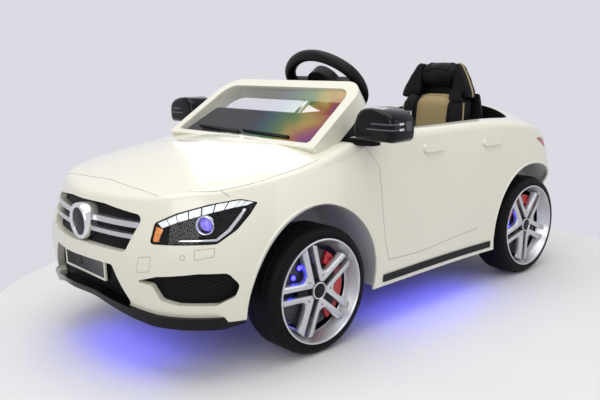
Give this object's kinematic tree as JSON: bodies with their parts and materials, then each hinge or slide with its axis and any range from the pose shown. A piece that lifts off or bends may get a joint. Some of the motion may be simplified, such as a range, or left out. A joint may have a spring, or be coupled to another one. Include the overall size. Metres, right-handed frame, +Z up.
{
  "type": "electric ride-on car",
  "caption": "Electric ride-on toy car: moulded ivory body, bucket seat, steered front wheels, driven rear wheels, folding mirrors, windshield, lamps and blue under-glow.",
  "frame": {"origin": "on the ground under the middle of the car's box", "axes": "+Z up, the car drives towards -Y, +X is the car's left side"},
  "size_m": [0.736, 1.2004, 0.5527],
  "materials": {
    "body_gloss": "gloss ivory moulding",
    "black_plastic": "matt black moulding",
    "tub_black": "grained black moulding",
    "pale_plastic": "matt pale grey moulding",
    "gloss_black": "gloss black",
    "lamp_black": "dark lamp bucket",
    "mesh_black": "open mesh look, matt black",
    "bright_trim": "silver paint",
    "clear_pane": "clear sheet",
    "clear_lens": "clear lens",
    "red_lens": "red lens",
    "blue_light": "lit blue strip",
    "steel": "bright steel",
    "black_steel": "black coated steel",
    "motor_can": "grey motor can",
    "battery_grey": "battery case",
    "tyre_black": "ribbed tread",
    "rim_silver": "silver paint with black webs",
    "brake_grey": "grey disc, red caliper",
    "grip_black": "soft black grip",
    "mirror_glass": "mirror film",
    "seat_leather": "black with tan insert",
    "webbing": "woven strap"
  },
  "bodies": {
    "chassis": {"chassis_pan": "black_plastic", "body_shell": "body_gloss", "windshield_frame": "body_gloss", "windshield_pane": "clear_pane", "wipers": "black_plastic", "grille_mesh": "mesh_black", "grille_bars": "bright_trim", "intake_meshes": "mesh_black", "number_plate": "gloss_black", "front_splitter": "gloss_black", "headlamp_buckets": "lamp_black", "headlamp_optics": "bright_trim", "headlamp_lenses": "clear_lens", "tail_lamps": "red_lens", "rear_diffuser": "black_plastic", "sill_trims": "gloss_black", "door_handles": "body_gloss", "wheel_liners": "pale_plastic", "underglow_lamps": "blue_light", "body_screws": "steel", "battery": "battery_grey", "control_box": "black_plastic", "gearbox_cases": "black_plastic", "drive_motors": "motor_can", "rear_axle": "steel", "front_beam": "black_steel", "cockpit_tub": "tub_black", "dashboard": "tub_black", "seat_shell": "tub_black", "seat_cushion": "seat_leather", "seat_back": "seat_leather", "seat_headrest": "seat_leather", "harness_straps": "webbing", "harness_clip": "gloss_black", "mirror_arms": "black_plastic"},
    "steering": {"steering_wheel": "grip_black", "steering_shaft": "steel"},
    "horn": {"horn_button": "bright_trim"},
    "tie_rod_body": {"tie_rod": "black_steel"},
    "pedal": {"accelerator_pedal": "black_plastic"},
    "power": {"power_button": "gloss_black"},
    "direction": {"direction_switch": "gloss_black"},
    "left_knuckle_body": {"left_knuckle": "black_steel"},
    "left_front_wheel": {"left_front_tyre": "tyre_black", "left_front_rim": "rim_silver", "left_front_brake_insert": "brake_grey"},
    "left_rear_wheel": {"left_rear_tyre": "tyre_black", "left_rear_rim": "rim_silver", "left_rear_brake_insert": "brake_grey"},
    "left_mirror": {"left_mirror_housing": "gloss_black", "left_mirror_glass": "mirror_glass"},
    "right_knuckle_body": {"right_knuckle": "black_steel"},
    "right_front_wheel": {"right_front_tyre": "tyre_black", "right_front_rim": "rim_silver", "right_front_brake_insert": "brake_grey"},
    "right_rear_wheel": {"right_rear_tyre": "tyre_black", "right_rear_rim": "rim_silver", "right_rear_brake_insert": "brake_grey"},
    "right_mirror": {"right_mirror_housing": "gloss_black", "right_mirror_glass": "mirror_glass"}
  },
  "joints": [
    {"name": "steering_turn", "type": "hinge", "parent": "chassis", "child": "steering", "pos_m": [0, 0.033, 0.475], "axis": [0, 0.8192, 0.5736], "range_deg": [-32, 32]},
    {"name": "horn_press", "type": "slide", "parent": "steering", "child": "horn", "axis": [0, -0.8192, -0.5736], "range_m": [0, 0.002], "stiffness_N_per_m": 600, "springref_m": -0.001},
    {"name": "left_steer", "type": "hinge", "parent": "chassis", "child": "left_knuckle_body", "pos_m": [0.205, -0.268, 0.12], "axis": [0, 0, 1], "range_deg": [-22, 22]},
    {"name": "left_front_spin", "type": "hinge", "parent": "left_knuckle_body", "child": "left_front_wheel", "pos_m": [0.256, -0.268, 0.12], "axis": [1, 0, 0], "continuous": true},
    {"name": "left_rear_spin", "type": "hinge", "parent": "chassis", "child": "left_rear_wheel", "pos_m": [0.256, 0.432, 0.12], "axis": [1, 0, 0], "continuous": true},
    {"name": "left_mirror_fold", "type": "hinge", "parent": "chassis", "child": "left_mirror", "pos_m": [0.292, -0.128, 0.4], "axis": [0, 0, 1], "range_deg": [0, 70]},
    {"name": "right_steer", "type": "hinge", "parent": "chassis", "child": "right_knuckle_body", "pos_m": [-0.205, -0.268, 0.12], "axis": [0, 0, 1], "range_deg": [-22, 22]},
    {"name": "right_front_spin", "type": "hinge", "parent": "right_knuckle_body", "child": "right_front_wheel", "pos_m": [-0.256, -0.268, 0.12], "axis": [1, 0, 0], "continuous": true},
    {"name": "right_rear_spin", "type": "hinge", "parent": "chassis", "child": "right_rear_wheel", "pos_m": [-0.256, 0.432, 0.12], "axis": [1, 0, 0], "continuous": true},
    {"name": "right_mirror_fold", "type": "hinge", "parent": "chassis", "child": "right_mirror", "pos_m": [-0.292, -0.128, 0.4], "axis": [0, 0, -1], "range_deg": [0, 70]},
    {"name": "tie_rod_pivot", "type": "hinge", "parent": "left_knuckle_body", "child": "tie_rod_body", "pos_m": [0.205, -0.328, 0.143], "axis": [0, 0, 1], "range_deg": [-22, 22]},
    {"name": "pedal_press", "type": "hinge", "parent": "chassis", "child": "pedal", "pos_m": [-0.072, -0.11, 0.11], "axis": [1, 0, 0], "range_deg": [0, 12], "stiffness_Nm_per_rad": 0.8, "springref_deg": -8.59},
    {"name": "power_press", "type": "slide", "parent": "chassis", "child": "power", "axis": [0, -1, 0], "range_m": [0, 0.0025], "stiffness_N_per_m": 400, "springref_m": -0.001},
    {"name": "direction_rock", "type": "hinge", "parent": "chassis", "child": "direction", "pos_m": [-0.095, -0.097, 0.357], "axis": [1, 0, 0], "range_deg": [-10, 10]}
  ],
  "couplings": [
    {"joint": "left_steer", "follows": "steering_turn", "ratio": 0.6875},
    {"joint": "right_steer", "follows": "steering_turn", "ratio": 0.6875},
    {"joint": "tie_rod_pivot", "follows": "steering_turn", "ratio": -0.6875}
  ]
}
